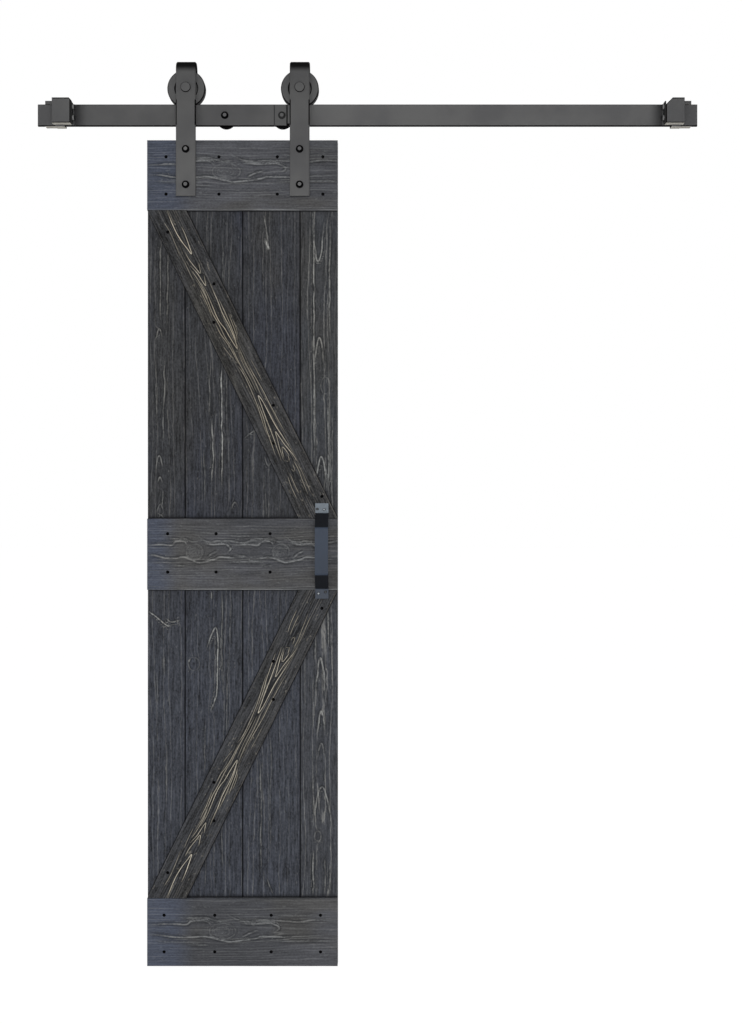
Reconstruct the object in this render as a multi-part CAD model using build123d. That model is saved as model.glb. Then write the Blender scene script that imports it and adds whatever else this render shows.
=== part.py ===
import math
import os

from build123d import *

# Sliding barn door on a wall rail. Millimetres, +X to the right, front towards -Y, +Z up.
# The origin is the middle of the joint spacer's wall face, at the rail's centre height.

# Door leaf
leaf_width = 492.2
leaf_height = 2134.0
plank_thickness = 28.0
board_thickness = 10.0
top_board_height = 180.5
middle_board_height = 184.0
bottom_board_height = 175.0
inner_plank_width = 149.0
brace_width = 90.0
tongue_length = 6.0
tongue_thickness = 6.0
groove_play = 0.6
seam_bevel = 3.0
board_edge_round = 1.6

# Rail and its wall fixings
rail_height = 56.6
rail_thickness = 8.0
rail_left_length = 632.5
rail_right_length = 1076.6
rail_edge_chamfer = 1.5
lap_left = 20.5
lap_right = 12.7
lap_recess = 0.9
lap_gap = 1.0
wall_gap = 36.0
left_spacer_distance = 148.0
spacer_foot_radius = 25.0
spacer_neck_radius = 11.0
spacer_foot_depth = 16.0
lag_shank_radius = 5.0
lag_head_radius = 9.5
lag_head_height = 5.0
lag_end_inset = 0.5
bolt_hole_play = 0.25

# Hangers
hanger_left_past_seam = 3.4
hanger_right_past_seam = -0.8
strap_width = 51.0
strap_thickness = 6.0
strap_edge_chamfer = 2.5
bend_inner_radius = 16.0
strap_below_leaf_top = 145.6
strap_top_above_axle = 71.0
rear_leg_below_axle = 25.0
upper_bolt_drop = 24.7
lower_bolt_drop = 116.1
hanger_shank_radius = 5.0
hanger_head_radius = 9.6
hanger_head_height = 6.5
hanger_nut_width = 17.0
hanger_nut_height = 6.0
axle_radius = 6.0
axle_play = 0.05
axle_head_radius = 12.7
axle_head_height = 4.0
axle_nut_width = 19.0
axle_nut_height = 7.0
axle_tip = 1.5

# Grooved wheels
tread_radius = 38.6
rolling_gap = 0.3
flange_radius = 49.0
wheel_width = 24.0
groove_side_play = 1.2
flange_taper = 2.3
wheel_dish_radius = 28.0
wheel_dish_depth = 6.0
wheel_hub_radius = 15.0
hub_side_play = 0.4
wheel_edge_chamfer = 2.2
leaf_below_rail = 39.3

# End brackets with their bumpers
bracket_left_inset = 19.1
bracket_right_inset = 15.5
bracket_rear_width = 42.0
bracket_front_width = 47.7
bracket_front_shift = 21.7
bracket_front_depth = 22.0
bracket_rear_rise = 9.0
bracket_rear_lift = -0.4
bracket_front_rise = 11.8
bracket_front_lift = 3.4
bracket_wall_chamfer = 24.0
bracket_tab_width = 24.0
bracket_tab_shift = 27.4
bracket_tab_thickness = 2.0
bracket_tab_drop = 1.2
bracket_edge_chamfer = 1.8
bracket_left_chamfer = 4.0
bracket_right_chamfer = 17.0
bumper_thickness = 4.0
bumper_depth = 18.0
bumper_height = 54.0
bumper_above_rail_middle = 4.0
bumper_chamfer = 1.5
bumper_front_inset = 2.0
bumper_button_radius = 7.0
bumper_button_rise = 6.0
bumper_button_root = 2.0
bumper_button_spacing = 28.0

# Pull handle
handle_width = 34.0
handle_thickness = 4.0
handle_length = 246.0
handle_foot = 25.0
handle_leg = 39.0
handle_projection = 38.0
handle_bend_radius = 8.0
handle_inset = 40.5
handle_above_middle = 8.75

# Planes of the rail and the leaf, from the wall outwards
rail_back_y = -wall_gap
rail_front_y = rail_back_y - rail_thickness
rail_mid_y = (rail_back_y + rail_front_y) / 2
leaf_front_y = rail_mid_y - bend_inner_radius
strap_front_y = leaf_front_y - strap_thickness
rear_leg_front_y = rail_mid_y + bend_inner_radius
rear_leg_back_y = rear_leg_front_y + strap_thickness
board_back_y = leaf_front_y + board_thickness
leaf_back_y = board_back_y + plank_thickness

# Heights
rail_top_z = rail_height / 2
rail_bottom_z = -rail_height / 2
axle_z = rail_top_z + rolling_gap + tread_radius
bend_z = axle_z + strap_top_above_axle - bend_inner_radius - strap_thickness
leaf_top_z = rail_bottom_z - leaf_below_rail
leaf_bottom_z = leaf_top_z - leaf_height
panel_height = (leaf_height - top_board_height - middle_board_height - bottom_board_height) / 2
top_bottom_z = leaf_top_z - top_board_height
middle_top_z = top_bottom_z - panel_height
middle_bottom_z = middle_top_z - middle_board_height
bottom_top_z = leaf_bottom_z + bottom_board_height

# Places along the rail
leaf_centre_x = -101.3
leaf_left_x = leaf_centre_x - leaf_width / 2
leaf_right_x = leaf_centre_x + leaf_width / 2
lap_mid_y = rail_mid_y

parts = {}


def block(x0, x1, y0, y1, z0, z1):
    centre = Pos((x0 + x1) / 2, (y0 + y1) / 2, (z0 + z1) / 2)
    return centre * Box(x1 - x0, y1 - y0, z1 - z0)


def rod(x, z, radius, y0, y1):
    # a round bar along Y, from y0 to y1
    return Pos(x, (y0 + y1) / 2, z) * Rot(90, 0, 0) * Cylinder(radius, y1 - y0)


def turned(points):
    # a solid turned about +Y from (radius, y) points
    return revolve(make_face(Polyline(*points, close=True)), axis=Axis.Y)


def hex_bar(x, z, width, y0, y1):
    flat = RegularPolygon(width / math.sqrt(3), 6)
    return Pos(x, y1, z) * Rot(90, 0, 0) * extrude(flat, y1 - y0)


def domed_head(radius, height):
    # a low head with sloping sides, its flat underside on y = 0 and its top towards -Y
    top = radius * 0.5
    return turned([(0, 0), (radius, 0), (radius, -height * 0.35), (top, -height), (0, -height)])


def edges_along(solid, axis, coordinate, value):
    found = []
    for edge in solid.edges().filter_by(axis):
        if abs(getattr(edge.center(), coordinate) - value) < 0.01:
            found.append(edge)
    return found


# Planks, tongued and grooved, with bevelled seams on the front
edge_plank_width = (leaf_width - 2 * inner_plank_width) / 2
seam_1 = leaf_left_x + edge_plank_width
seam_2 = seam_1 + inner_plank_width
seam_3 = seam_2 + inner_plank_width
hanger_left_x = seam_1 + hanger_left_past_seam
hanger_right_x = seam_3 + hanger_right_past_seam
tongue_y = (board_back_y + leaf_back_y) / 2 + seam_bevel / 2


def plank(x0, x1, grooved, tongued):
    body = block(x0, x1, board_back_y, leaf_back_y, leaf_bottom_z, leaf_top_z)
    if grooved:
        half = tongue_thickness / 2
        body -= block(
            x0 - 1, x0 + tongue_length + groove_play, tongue_y - half, tongue_y + half,
            leaf_bottom_z - 1, leaf_top_z + 1,
        )
        body = chamfer(seam_edge(body, x0), seam_bevel)
    if tongued:
        body = chamfer(seam_edge(body, x1), seam_bevel)
        half = tongue_thickness / 2
        body += block(
            x1, x1 + tongue_length, tongue_y - half, tongue_y + half, leaf_bottom_z, leaf_top_z
        )
    return body


def seam_edge(body, x):
    return [e for e in edges_along(body, Axis.Z, "X", x) if abs(e.center().Y - board_back_y) < 0.01]


plank_left = plank(leaf_left_x, seam_1, False, True)
plank_inner_left = plank(seam_1, seam_2, True, True)
plank_inner_right = plank(seam_2, seam_3, True, True)
plank_right = plank(seam_3, leaf_right_x, True, False)


# Cross boards and braces, all in one plane on the planks
def front_edges(body):
    return [e for e in body.edges() if abs(e.center().Y - leaf_front_y) < 0.01]


def cross_board(z0, z1):
    body = block(leaf_left_x, leaf_right_x, leaf_front_y, board_back_y, z0, z1)
    return chamfer(front_edges(body), board_edge_round)


top_board = cross_board(top_bottom_z, leaf_top_z)
middle_board = cross_board(middle_bottom_z, middle_top_z)
bottom_board = cross_board(leaf_bottom_z, bottom_top_z)

# The brace's level ends run into both corners of the panel, which fixes their length
brace_reach = math.sqrt(leaf_width**2 + panel_height**2 - brace_width**2)
brace_end = brace_width * (panel_height * brace_reach - brace_width * leaf_width)
brace_end = brace_end / (panel_height**2 - brace_width**2)


def brace(z_left, z_right):
    corners = [
        (leaf_left_x, z_left),
        (leaf_left_x + brace_end, z_left),
        (leaf_right_x, z_right),
        (leaf_right_x - brace_end, z_right),
    ]
    face = make_face(Polyline(*corners, close=True))
    body = Pos(0, board_back_y, 0) * Rot(90, 0, 0) * extrude(face, board_thickness)
    return chamfer(front_edges(body), board_edge_round)


upper_brace = brace(top_bottom_z, middle_top_z)
lower_brace = brace(bottom_top_z, middle_bottom_z)


# Rail in two lengths, half-lapped and bolted together at the joint spacer
def rail_bar(x0, x1):
    body = block(x0, x1, rail_front_y, rail_back_y, rail_bottom_z, rail_top_z)
    return chamfer(body.edges().filter_by(Axis.X), rail_edge_chamfer)


rail_left = rail_bar(-rail_left_length, lap_right)
rail_left -= block(
    -lap_left, lap_right + 1, lap_mid_y, rail_back_y + 1, rail_bottom_z - 1, rail_top_z + 1
)
rail_left -= block(
    -lap_left, lap_right + 1, rail_front_y - 1, rail_front_y + lap_recess,
    rail_bottom_z - 1, rail_top_z + 1,
)
rail_right = rail_bar(-lap_left + lap_gap, rail_right_length)
rail_right -= block(
    -lap_left, lap_right + lap_gap, rail_front_y - 1, lap_mid_y, rail_bottom_z - 1, rail_top_z + 1
)


# Spacers with a wide wall foot and a neck that the wheel flange clears, and their lag bolts
def spacer(x):
    hole = lag_shank_radius + bolt_hole_play
    body = turned([
        (hole, 0),
        (spacer_foot_radius, 0),
        (spacer_foot_radius, -spacer_foot_depth),
        (spacer_neck_radius, -spacer_foot_depth),
        (spacer_neck_radius, -wall_gap),
        (hole, -wall_gap),
    ])
    return Pos(x, 0, 0) * body


def lag_bolt(x, seat_y):
    shank = rod(x, 0, lag_shank_radius, seat_y, -lag_end_inset)
    return shank + Pos(x, seat_y, 0) * domed_head(lag_head_radius, lag_head_height)


def rail_hole(x):
    return rod(x, 0, lag_shank_radius + bolt_hole_play, rail_front_y - 1, rail_back_y + 1)


rail_left -= rail_hole(-left_spacer_distance)
rail_left -= rail_hole(0)
rail_right -= rail_hole(0)
spacer_left = spacer(-left_spacer_distance)
spacer_joint = spacer(0)
lag_bolt_left = lag_bolt(-left_spacer_distance, rail_front_y)
lag_bolt_joint = lag_bolt(0, rail_front_y + lap_recess)


# End brackets: a rear block between wall and rail, a lip over the rail, a block in front and a tab under it
def end_bracket(end_x, inward, inset, corner):
    rear_top_z = rail_top_z + bracket_rear_rise
    front_top_z = rail_top_z + bracket_front_rise
    front_face_y = rail_front_y - bracket_front_depth
    rear_a = end_x + inward * inset
    rear_b = rear_a + inward * bracket_rear_width
    front_a = rear_a + inward * bracket_front_shift
    front_b = front_a + inward * bracket_front_width
    rear = block(
        min(rear_a, rear_b), max(rear_a, rear_b), rail_front_y, 0,
        rail_bottom_z + bracket_rear_lift, rear_top_z,
    )
    front = block(
        min(front_a, front_b), max(front_a, front_b), front_face_y, rail_front_y,
        rail_bottom_z + bracket_front_lift, front_top_z,
    )
    wall_edge = []
    for edge in rear.edges().filter_by(Axis.X):
        if abs(edge.center().Y) < 0.01 and edge.center().Z < 0:
            wall_edge.append(edge)
    rear = chamfer(wall_edge, bracket_wall_chamfer)
    corner_edges = []
    for edge in front.edges().filter_by(Axis.Y):
        if abs(edge.center().X - front_b) < 0.01 and abs(edge.center().Z - front_top_z) < 0.01:
            corner_edges.append(edge)
    front = chamfer(corner_edges, corner)
    face_edges = [e for e in front.edges() if abs(e.center().Y - front_face_y) < 0.01]
    front = chamfer(face_edges, bracket_edge_chamfer)
    tab_a = rear_a + inward * bracket_tab_shift
    tab_b = tab_a + inward * bracket_tab_width
    tab = block(
        min(tab_a, tab_b), max(tab_a, tab_b), rail_front_y - bracket_tab_thickness,
        -bracket_wall_chamfer, rail_bottom_z - bracket_tab_drop, rail_bottom_z + bracket_front_lift,
    )
    body = rear + front + tab
    slot = block(
        min(rear_a, tab_a) - bracket_front_width, max(rear_a, tab_b) + bracket_front_width,
        rail_front_y, rail_back_y, rail_bottom_z, rail_top_z,
    )
    return body - slot, front_b


def bumper(face_x, inward):
    front_y = rail_front_y - bracket_front_depth + bumper_front_inset
    mid_z = bumper_above_rail_middle
    x0 = face_x
    x1 = face_x + inward * bumper_thickness
    body = block(
        min(x0, x1), max(x0, x1), front_y, front_y + bumper_depth,
        mid_z - bumper_height / 2, mid_z + bumper_height / 2,
    )
    rim = []
    for edge in body.edges():
        if abs(edge.center().X - x1) < 0.01:
            rim.append(edge)
    body = chamfer(rim, bumper_chamfer)
    knob_length = bumper_button_root + bumper_button_rise
    for side in (-1, 1):
        knob = rod(0, 0, bumper_button_radius, 0, knob_length)
        crown = [e for e in knob.edges() if abs(e.center().Y - knob_length) < 0.01]
        knob = fillet(crown, bumper_button_rise * 0.3)
        knob_z = mid_z + side * bumper_button_spacing / 2
        place = Pos(x1 - inward * bumper_button_root, front_y + bumper_depth / 2, knob_z)
        body += place * Rot(0, 0, -90 * inward) * knob
    return body


end_bracket_left, stop_left_x = end_bracket(
    -rail_left_length, 1, bracket_left_inset, bracket_left_chamfer
)
end_bracket_right, stop_right_x = end_bracket(
    rail_right_length, -1, bracket_right_inset, bracket_right_chamfer
)
bumper_left = bumper(stop_left_x, 1)
bumper_right = bumper(stop_right_x, -1)


# Hangers: a strap bent over the wheel, its axle bolt and two bolts through the leaf
def outer_edges(body, x):
    # the long edges of the strap's outer face, round the bend as well
    found = []
    for edge in body.edges():
        centre = edge.center()
        on_side = abs(abs(centre.X - x) - strap_width / 2) < 0.01
        on_leg = abs(centre.Y - strap_front_y) < 0.01 or abs(centre.Y - rear_leg_back_y) < 0.01
        on_bend = edge.geom_type == GeomType.CIRCLE and edge.radius > bend_inner_radius + 1
        if on_side and (on_leg or on_bend):
            found.append(edge)
    return found


def hanger_strap(x):
    half = strap_width / 2
    front = block(
        x - half, x + half, strap_front_y, leaf_front_y, leaf_top_z - strap_below_leaf_top, bend_z
    )
    rear = block(
        x - half, x + half, rear_leg_front_y, rear_leg_back_y, axle_z - rear_leg_below_axle, bend_z
    )
    centre = Pos(x, rail_mid_y, bend_z) * Rot(0, 90, 0)
    outer = bend_inner_radius + strap_thickness
    ring = centre * Cylinder(outer, strap_width) - centre * Cylinder(bend_inner_radius, strap_width)
    ring &= block(
        x - half, x + half, rail_mid_y - outer, rail_mid_y + outer, bend_z, bend_z + outer
    )
    body = front + ring + rear
    body = chamfer(outer_edges(body, x), strap_edge_chamfer)
    body -= rod(x, axle_z, axle_radius + axle_play, strap_front_y - 1, rear_leg_back_y + 1)
    for drop in (upper_bolt_drop, lower_bolt_drop):
        body -= rod(
            x, leaf_top_z - drop, hanger_shank_radius + bolt_hole_play,
            strap_front_y - 1, leaf_front_y + 1,
        )
    return body


def hanger_holes(x):
    cut = []
    for drop in (upper_bolt_drop, lower_bolt_drop):
        cut.append(
            rod(
                x, leaf_top_z - drop, hanger_shank_radius + bolt_hole_play,
                leaf_front_y - 1, leaf_back_y + 1,
            )
        )
    return cut


def hanger_bolts(x):
    bolts = []
    for drop in (upper_bolt_drop, lower_bolt_drop):
        z = leaf_top_z - drop
        shank = rod(x, z, hanger_shank_radius, strap_front_y, leaf_back_y + hanger_nut_height)
        bolts.append(shank + Pos(x, strap_front_y, z) * domed_head(hanger_head_radius, hanger_head_height))
    return Compound(bolts)


def hanger_nuts(x):
    nuts = []
    for drop in (upper_bolt_drop, lower_bolt_drop):
        z = leaf_top_z - drop
        nut = hex_bar(x, z, hanger_nut_width, leaf_back_y, leaf_back_y + hanger_nut_height)
        hole = rod(
            x, z, hanger_shank_radius + axle_play, leaf_back_y - 1, leaf_back_y + hanger_nut_height + 1
        )
        nuts.append(nut - hole)
    return Compound(nuts)


def axle_bolt(x):
    end_y = rear_leg_back_y + axle_nut_height + axle_tip
    shank = rod(x, axle_z, axle_radius, strap_front_y, end_y)
    head = rod(x, axle_z, axle_head_radius, strap_front_y - axle_head_height, strap_front_y)
    rim = [e for e in head.edges() if abs(e.center().Y - (strap_front_y - axle_head_height)) < 0.01]
    return shank + chamfer(rim, axle_head_height * 0.25)


def axle_nut(x):
    nut = hex_bar(x, axle_z, axle_nut_width, rear_leg_back_y, rear_leg_back_y + axle_nut_height)
    return nut - rod(
        x, axle_z, axle_radius + axle_play, rear_leg_back_y - 1, rear_leg_back_y + axle_nut_height + 1
    )


def wheel(x):
    side = wheel_width / 2
    hub = bend_inner_radius - hub_side_play
    groove = rail_thickness / 2 + groove_side_play
    dish = side - wheel_dish_depth
    half = [
        (axle_radius + axle_play, hub),
        (wheel_hub_radius, hub),
        (wheel_hub_radius, dish),
        (wheel_dish_radius, dish),
        (wheel_dish_radius + wheel_dish_depth / 2, side),
        (flange_radius - wheel_edge_chamfer, side),
        (flange_radius, side - wheel_edge_chamfer),
        (flange_radius, groove + flange_taper),
        (tread_radius, groove),
    ]
    mirrored = [(r, -y) for r, y in reversed(half)]
    return Pos(x, rail_mid_y, axle_z) * turned(half + mirrored)


for x in (hanger_left_x, hanger_right_x):
    for hole in hanger_holes(x):
        top_board -= hole
        plank_left -= hole
        plank_inner_left -= hole
        plank_inner_right -= hole
        plank_right -= hole


# Pull handle: a flat bar bent out from the leaf and back again
def pull_handle():
    x = leaf_right_x - handle_inset
    mid_z = (middle_top_z + middle_bottom_z) / 2 + handle_above_middle
    seat = leaf_front_y - handle_thickness / 2
    out = seat - handle_projection + handle_thickness
    half = handle_length / 2
    path = [
        (seat, half),
        (seat, half - handle_foot),
        (out, half - handle_foot - handle_leg),
        (out, -half + handle_foot + handle_leg),
        (seat, -half + handle_foot),
        (seat, -half),
    ]
    line = FilletPolyline(*path, radius=handle_bend_radius)
    band = trace(line, handle_thickness)
    # sketch axes (y, z) are turned so that the band's own plane becomes YZ
    bar = extrude(band, handle_width / 2, both=True)
    return Pos(x, 0, mid_z) * Plane(origin=(0, 0, 0), x_dir=(0, 1, 0), z_dir=(1, 0, 0)).location * bar


handle = pull_handle()

parts["rail_left"] = rail_left
parts["rail_right"] = rail_right
parts["spacer_left"] = spacer_left
parts["spacer_joint"] = spacer_joint
parts["lag_bolt_left"] = lag_bolt_left
parts["lag_bolt_joint"] = lag_bolt_joint
parts["end_bracket_left"] = end_bracket_left
parts["end_bracket_right"] = end_bracket_right
parts["bumper_left"] = bumper_left
parts["bumper_right"] = bumper_right
parts["plank_left"] = plank_left
parts["plank_inner_left"] = plank_inner_left
parts["plank_inner_right"] = plank_inner_right
parts["plank_right"] = plank_right
parts["top_board"] = top_board
parts["middle_board"] = middle_board
parts["bottom_board"] = bottom_board
parts["upper_brace"] = upper_brace
parts["lower_brace"] = lower_brace
parts["pull_handle"] = handle
parts["hanger_strap_left"] = hanger_strap(hanger_left_x)
parts["hanger_strap_right"] = hanger_strap(hanger_right_x)
parts["hanger_bolts_left"] = hanger_bolts(hanger_left_x)
parts["hanger_bolts_right"] = hanger_bolts(hanger_right_x)
parts["hanger_nuts_left"] = hanger_nuts(hanger_left_x)
parts["hanger_nuts_right"] = hanger_nuts(hanger_right_x)
parts["axle_bolt_left"] = axle_bolt(hanger_left_x)
parts["axle_bolt_right"] = axle_bolt(hanger_right_x)
parts["axle_nut_left"] = axle_nut(hanger_left_x)
parts["axle_nut_right"] = axle_nut(hanger_right_x)
parts["wheel_left"] = wheel(hanger_left_x)
parts["wheel_right"] = wheel(hanger_right_x)

os.makedirs("parts", exist_ok=True)
for node, shape in parts.items():
    export_step(shape, os.path.join("parts", node + ".step"))
    print(node, "volume", round(shape.volume), "mm3")
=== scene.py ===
import math

import bpy
import numpy as np
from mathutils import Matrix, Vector


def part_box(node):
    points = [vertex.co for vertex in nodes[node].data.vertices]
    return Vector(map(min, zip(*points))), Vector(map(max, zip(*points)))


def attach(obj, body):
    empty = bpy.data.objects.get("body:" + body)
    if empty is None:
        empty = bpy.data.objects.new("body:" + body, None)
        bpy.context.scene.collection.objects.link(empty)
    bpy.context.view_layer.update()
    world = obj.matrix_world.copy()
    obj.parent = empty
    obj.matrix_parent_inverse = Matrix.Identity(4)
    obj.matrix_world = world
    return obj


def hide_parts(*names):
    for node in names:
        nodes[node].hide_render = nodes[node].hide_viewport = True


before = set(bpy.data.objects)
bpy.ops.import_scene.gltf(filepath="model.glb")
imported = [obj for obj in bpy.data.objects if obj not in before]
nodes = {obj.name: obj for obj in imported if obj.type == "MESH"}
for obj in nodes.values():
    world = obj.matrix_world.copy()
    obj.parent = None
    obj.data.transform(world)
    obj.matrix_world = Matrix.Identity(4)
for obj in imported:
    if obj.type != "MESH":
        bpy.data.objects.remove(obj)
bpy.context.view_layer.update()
scene = bpy.context.scene
scene.view_settings.view_transform = "Standard"
mm = 0.001


def linear(red, green, blue):  # screen colour, 0 to 255, to scene colour
    values = []
    for shade in (red, green, blue):
        part = shade / 255
        values.append(part / 12.92 if part <= 0.04045 else ((part + 0.055) / 1.055) ** 2.4)
    return (values[0], values[1], values[2], 1.0)


def nodeBox(name):  # lowest and highest corner of a solid, in mm
    low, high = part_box(name)
    return np.array(low) / mm, np.array(high) / mm


class Tree:  # the node tree of a material or a world, built a node at a time
    def __init__(self, owner):
        owner.use_nodes = True
        self.owner = owner
        self.tree = owner.node_tree
        self.tree.nodes.clear()
        self.column = 0

    def add(self, kind, inputs=None, **props):
        node = self.tree.nodes.new(kind)
        self.column += 1
        node.location = (self.column * 170, -60 * (self.column % 7))  # spread out in the node editor
        for key, value in props.items():
            setattr(node, key, value)
        for key, value in (inputs or {}).items():
            self.feed(node.inputs[key], value)
        return node

    def feed(self, socket, value):
        if isinstance(value, bpy.types.NodeSocket):
            self.tree.links.new(value, socket)
        else:
            socket.default_value = value

    def math(self, operation, a, b=0.0, c=None, clamp=False):
        inputs = {0: a, 1: b}
        if c is not None:
            inputs[2] = c
        return self.add("ShaderNodeMath", inputs, operation=operation, use_clamp=clamp).outputs[0]

    def line(self, value, low, high, toLow=0.0, toHigh=1.0, shape="LINEAR"):  # straight between two values
        inputs = {"Value": value, "From Min": low, "From Max": high, "To Min": toLow, "To Max": toHigh}
        return self.add("ShaderNodeMapRange", inputs, interpolation_type=shape).outputs["Result"]

    def ramp(self, value, low, high, toLow=0.0, toHigh=1.0):  # smooth step between two values
        return self.line(value, low, high, toLow, toHigh, "SMOOTHSTEP")

    def within(self, value, low, high, soft):  # 1 between two places in mm, soft at both ends
        start = self.ramp(value, (low - soft) * mm, (low + soft) * mm)
        end = self.ramp(value, (high - soft) * mm, (high + soft) * mm, 1.0, 0.0)
        return self.math("MULTIPLY", start, end)

    def noise(self, vector, scale, detail=2.0, rough=0.5):
        inputs = {"Vector": vector, "Scale": scale, "Detail": detail, "Roughness": rough}
        return self.add("ShaderNodeTexNoise", inputs).outputs["Fac"]

    def mix(self, factor, first, second, blend="MIX"):
        node = self.add("ShaderNodeMix", data_type="RGBA", blend_type=blend)
        self.feed(node.inputs["Factor"], factor)
        for key, value in (("A", first), ("B", second)):
            socket = [entry for entry in node.inputs if entry.name == key and entry.type == "RGBA"][0]
            self.feed(socket, value)
        return [entry for entry in node.outputs if entry.type == "RGBA"][0]

    def mapped(self, vector, scale=(1, 1, 1), turn=(0, 0, 0), shift=(0, 0, 0)):
        inputs = {"Vector": vector, "Scale": scale, "Rotation": turn, "Location": shift}
        return self.add("ShaderNodeMapping", inputs).outputs["Vector"]

    def split(self, vector):
        return self.add("ShaderNodeSeparateXYZ", {"Vector": vector}).outputs

    def attribute(self, name):
        return self.add("ShaderNodeAttribute", attribute_name=name).outputs["Fac"]

    def finish(self, shader, output="ShaderNodeOutputMaterial"):
        self.add(output, {"Surface": shader})
        return self.owner


# powder paint: its cloudy tone and fine grit, and how far a face turns before the painted shade or light on
# it changes; soft in mm
paint = dict(
    cloudScale=9.0, cloudDetail=3.0, cloudCut=(0.3, 0.7), gritScale=700.0, gritRough=0.6,
    gritCut=(0.58, 0.72), gritShare=0.3, gritDepth=0.0002, fadeShare=0.8, patchSoft=0.4,
    rimTurn=(0.3, 0.6), rimSoft=1.5, endTurn=(0.4, 0.6), topTurn=(0.9, 0.98), underTurn=(-0.95, -0.7),
    roughCut=(0.25, 0.75), roughBelow=0.05, roughAbove=0.06,
)


# grey on the flats, painted near black as shade where a face turns away from front and back
def paintedMetal(name, look):
    t = Tree(bpy.data.materials.new(name))
    place = t.add("ShaderNodeTexCoord").outputs["Object"]
    spot = t.split(place)
    facing = t.split(t.add("ShaderNodeNewGeometry").outputs["Normal"])
    cloud = t.noise(place, paint["cloudScale"], paint["cloudDetail"])
    grit = t.noise(place, paint["gritScale"], rough=paint["gritRough"])
    tone = t.mix(t.ramp(cloud, *paint["cloudCut"]), look["dark"], look["light"])
    tone = t.mix(t.ramp(grit, *paint["gritCut"], 0.0, paint["gritShare"]), tone, look["light"])
    if "shade" in look:  # painted shading: lighter towards one end, as (low, high, at low, at high) up the piece
        low, high, atLow, atHigh = look["shade"]
        tone = t.mix(1.0, tone, t.line(spot["Z"], low * mm, high * mm, atLow, atHigh), "MULTIPLY")
    for start, end, fadeTone in look.get("fades", []):  # shaded beside the stops
        tone = t.mix(t.ramp(spot["X"], start * mm, end * mm, paint["fadeShare"], 0.0), tone, fadeTone)
    for ranges, patchTone in look.get("patches", []):  # another tone between two places on an axis: dark joint lines, painted shade and painted highlights
        inside = 1.0
        for axis, (low, high) in ranges.items():
            inside = t.math("MULTIPLY", inside, t.within(spot[axis], low, high, paint["patchSoft"]))
        tone = t.mix(inside, tone, patchTone)
    if "crown" in look:  # painted shade: darker up the bend over the wheel
        low, high, crownTone = look["crown"]
        tone = t.mix(t.ramp(spot["Z"], low * mm, high * mm), tone, crownTone)
    # painted shade: faces turned away from front and back take the side tone
    tone = t.mix(t.ramp(t.math("ABSOLUTE", facing["Y"]), *look["turn"]), look["side"], tone)
    if "rise" in look:  # painted shade: darker where an edge turns up
        tone = t.mix(t.ramp(facing["Z"], *look["rise"]), tone, look["side"])
    if "rim" in look:  # painted shade: dark rim where the strap crosses the rail
        rim = t.ramp(t.math("ABSOLUTE", facing["X"]), *paint["rimTurn"])
        rim = t.math("MULTIPLY", rim, t.within(spot["Z"], *look["rim"], paint["rimSoft"]))
        tone = t.mix(rim, tone, look["side"])
    if "middle" in look:  # upper faces and outer ends keep a plain grey, free of the painted shade
        outward = t.math("MULTIPLY", facing["X"], t.math("SUBTRACT", spot["X"], look["middle"] * mm))
        plain = t.math("MAXIMUM", t.ramp(outward, *paint["endTurn"]), t.ramp(facing["Z"], *paint["topTurn"]))
        tone = t.mix(plain, tone, look["dark"])
    if "under" in look:  # painted light: pale undersides
        tone = t.mix(t.ramp(facing["Z"], *paint["underTurn"], 1.0, 0.0), tone, look["under"])
    smoother, rougher = look["rough"] - paint["roughBelow"], look["rough"] + paint["roughAbove"]
    bump = t.add("ShaderNodeBump", {"Height": grit, "Strength": look["grit"], "Distance": paint["gritDepth"]})
    shader = t.add("ShaderNodeBsdfPrincipled", {
        "Base Color": tone, "Roughness": t.ramp(cloud, *paint["roughCut"], smoother, rougher),
        "Normal": bump.outputs["Normal"], "Specular IOR Level": look["gloss"],
    })
    return t.finish(shader.outputs["BSDF"])


stopLeft, stopRight = nodeBox("bumper_left")[1][0], nodeBox("bumper_right")[0][0]  # the bumpers' inner faces
handleLow, handleHigh = nodeBox("pull_handle")
strapLow, strapHigh = nodeBox("hanger_strap_left")
railLow, railHigh = nodeBox("rail_left")
lapStart, railEnd = nodeBox("rail_right")[0][0], nodeBox("rail_right")[1][0]
seam = railHigh[0]
railMiddle = (railLow[0] + railEnd) / 2
bracketTop = nodeBox("end_bracket_left")[1][2]
# near black, the painted shade on faces turned away from front and back
black = linear(22, 22, 23)
# painted shade along the rail's underside
railUnderShade = ({"Z": (railLow[2] - 1.0, railLow[2] + 2.3)}, linear(28, 28, 28))
flatSteel = dict(
    dark=linear(84, 84, 85), light=linear(93, 93, 93), side=black, turn=(0.72, 0.97), rough=0.55, grit=0.12,
    gloss=0.0,
)
bolt = dict(
    flatSteel, dark=linear(92, 92, 93), light=linear(108, 108, 108), side=linear(9, 9, 10), rough=0.42,
)
rail = dict(flatSteel, side=linear(8, 8, 8), rise=(0.2, 0.6), middle=railMiddle)
screw = dict(turn=(0.5, 0.95), rough=0.4, grit=0.1, gloss=0.3)
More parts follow.
